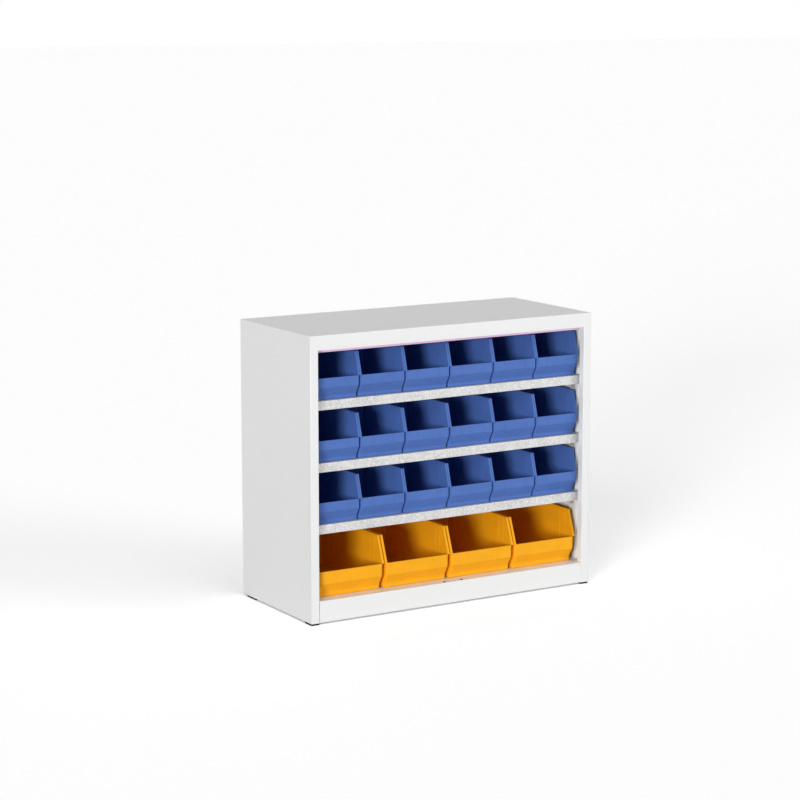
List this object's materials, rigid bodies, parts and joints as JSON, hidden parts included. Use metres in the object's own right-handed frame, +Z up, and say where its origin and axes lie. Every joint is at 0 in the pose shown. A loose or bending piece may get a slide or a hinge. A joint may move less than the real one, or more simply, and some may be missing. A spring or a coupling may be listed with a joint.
{
  "type": "bin shelving rack",
  "caption": "Open-fronted sheet steel cabinet with galvanised shelves that hold rows of blue and yellow open-front plastic storage bins; each bin slides out to the front.",
  "frame": {"origin": "on the floor, under the middle of the rack's width and depth", "axes": "+X along the width to the right as seen from the front, +Y to the back, +Z up; the open front faces -Y"},
  "size_m": [0.915, 0.4, 0.79],
  "materials": {
    "white_paint": "light grey powder coat, satin",
    "galvanised_steel": "hot-dip galvanised sheet with fine spangle",
    "blue_plastic": "moulded polypropylene, fine grain",
    "yellow_plastic": "moulded polypropylene, fine grain",
    "black_rubber": "matt",
    "pink_strip": "soft extruded strip, satin"
  },
  "bodies": {
    "cabinet": {"top_cap": "white_paint", "left_side_panel": "white_paint", "right_side_panel": "white_paint", "base_deck": "white_paint", "back_panel": "white_paint", "header_channel": "white_paint", "front_left_upright": "white_paint", "rear_left_upright": "white_paint", "front_right_upright": "white_paint", "rear_right_upright": "white_paint", "back_panel_rivets": "galvanised_steel", "lower_shelf": "galvanised_steel", "lower_shelf_stiffener": "galvanised_steel", "lower_shelf_clips": "galvanised_steel", "middle_shelf": "galvanised_steel", "middle_shelf_stiffener": "galvanised_steel", "middle_shelf_clips": "galvanised_steel", "upper_shelf": "galvanised_steel", "upper_shelf_stiffener": "galvanised_steel", "upper_shelf_clips": "galvanised_steel", "front_left_foot": "black_rubber", "rear_left_foot": "black_rubber", "front_right_foot": "black_rubber", "rear_right_foot": "black_rubber", "lock_hole_plugs": "black_rubber", "buffer_strip": "pink_strip"},
    "yellow_bin_1": {"yellow_bin_1": "yellow_plastic"},
    "yellow_bin_2": {"yellow_bin_2": "yellow_plastic"},
    "yellow_bin_3": {"yellow_bin_3": "yellow_plastic"},
    "yellow_bin_4": {"yellow_bin_4": "yellow_plastic"},
    "lower_blue_bin_1": {"lower_blue_bin_1": "blue_plastic"},
    "lower_blue_bin_2": {"lower_blue_bin_2": "blue_plastic"},
    "lower_blue_bin_3": {"lower_blue_bin_3": "blue_plastic"},
    "lower_blue_bin_4": {"lower_blue_bin_4": "blue_plastic"},
    "lower_blue_bin_5": {"lower_blue_bin_5": "blue_plastic"},
    "lower_blue_bin_6": {"lower_blue_bin_6": "blue_plastic"},
    "middle_blue_bin_1": {"middle_blue_bin_1": "blue_plastic"},
    "middle_blue_bin_2": {"middle_blue_bin_2": "blue_plastic"},
    "middle_blue_bin_3": {"middle_blue_bin_3": "blue_plastic"},
    "middle_blue_bin_4": {"middle_blue_bin_4": "blue_plastic"},
    "middle_blue_bin_5": {"middle_blue_bin_5": "blue_plastic"},
    "middle_blue_bin_6": {"middle_blue_bin_6": "blue_plastic"},
    "upper_blue_bin_1": {"upper_blue_bin_1": "blue_plastic"},
    "upper_blue_bin_2": {"upper_blue_bin_2": "blue_plastic"},
    "upper_blue_bin_3": {"upper_blue_bin_3": "blue_plastic"},
    "upper_blue_bin_4": {"upper_blue_bin_4": "blue_plastic"},
    "upper_blue_bin_5": {"upper_blue_bin_5": "blue_plastic"},
    "upper_blue_bin_6": {"upper_blue_bin_6": "blue_plastic"}
  },
  "joints": [
    {"name": "yellow_bin_1_slide", "type": "slide", "parent": "cabinet", "child": "yellow_bin_1", "axis": [0, -1, 0], "range_m": [0, 0.34]},
    {"name": "yellow_bin_2_slide", "type": "slide", "parent": "cabinet", "child": "yellow_bin_2", "axis": [0, -1, 0], "range_m": [0, 0.34]},
    {"name": "yellow_bin_3_slide", "type": "slide", "parent": "cabinet", "child": "yellow_bin_3", "axis": [0, -1, 0], "range_m": [0, 0.34]},
    {"name": "yellow_bin_4_slide", "type": "slide", "parent": "cabinet", "child": "yellow_bin_4", "axis": [0, -1, 0], "range_m": [0, 0.34]},
    {"name": "lower_blue_bin_1_slide", "type": "slide", "parent": "cabinet", "child": "lower_blue_bin_1", "axis": [0, -1, 0], "range_m": [0, 0.217]},
    {"name": "lower_blue_bin_2_slide", "type": "slide", "parent": "cabinet", "child": "lower_blue_bin_2", "axis": [0, -1, 0], "range_m": [0, 0.217]},
    {"name": "lower_blue_bin_3_slide", "type": "slide", "parent": "cabinet", "child": "lower_blue_bin_3", "axis": [0, -1, 0], "range_m": [0, 0.217]},
    {"name": "lower_blue_bin_4_slide", "type": "slide", "parent": "cabinet", "child": "lower_blue_bin_4", "axis": [0, -1, 0], "range_m": [0, 0.217]},
    {"name": "lower_blue_bin_5_slide", "type": "slide", "parent": "cabinet", "child": "lower_blue_bin_5", "axis": [0, -1, 0], "range_m": [0, 0.217]},
    {"name": "lower_blue_bin_6_slide", "type": "slide", "parent": "cabinet", "child": "lower_blue_bin_6", "axis": [0, -1, 0], "range_m": [0, 0.217]},
    {"name": "middle_blue_bin_1_slide", "type": "slide", "parent": "cabinet", "child": "middle_blue_bin_1", "axis": [0, -1, 0], "range_m": [0, 0.217]},
    {"name": "middle_blue_bin_2_slide", "type": "slide", "parent": "cabinet", "child": "middle_blue_bin_2", "axis": [0, -1, 0], "range_m": [0, 0.217]},
    {"name": "middle_blue_bin_3_slide", "type": "slide", "parent": "cabinet", "child": "middle_blue_bin_3", "axis": [0, -1, 0], "range_m": [0, 0.217]},
    {"name": "middle_blue_bin_4_slide", "type": "slide", "parent": "cabinet", "child": "middle_blue_bin_4", "axis": [0, -1, 0], "range_m": [0, 0.217]},
    {"name": "middle_blue_bin_5_slide", "type": "slide", "parent": "cabinet", "child": "middle_blue_bin_5", "axis": [0, -1, 0], "range_m": [0, 0.217]},
    {"name": "middle_blue_bin_6_slide", "type": "slide", "parent": "cabinet", "child": "middle_blue_bin_6", "axis": [0, -1, 0], "range_m": [0, 0.217]},
    {"name": "upper_blue_bin_1_slide", "type": "slide", "parent": "cabinet", "child": "upper_blue_bin_1", "axis": [0, -1, 0], "range_m": [0, 0.217]},
    {"name": "upper_blue_bin_2_slide", "type": "slide", "parent": "cabinet", "child": "upper_blue_bin_2", "axis": [0, -1, 0], "range_m": [0, 0.217]},
    {"name": "upper_blue_bin_3_slide", "type": "slide", "parent": "cabinet", "child": "upper_blue_bin_3", "axis": [0, -1, 0], "range_m": [0, 0.217]},
    {"name": "upper_blue_bin_4_slide", "type": "slide", "parent": "cabinet", "child": "upper_blue_bin_4", "axis": [0, -1, 0], "range_m": [0, 0.217]},
    {"name": "upper_blue_bin_5_slide", "type": "slide", "parent": "cabinet", "child": "upper_blue_bin_5", "axis": [0, -1, 0], "range_m": [0, 0.217]},
    {"name": "upper_blue_bin_6_slide", "type": "slide", "parent": "cabinet", "child": "upper_blue_bin_6", "axis": [0, -1, 0], "range_m": [0, 0.217]}
  ]
}
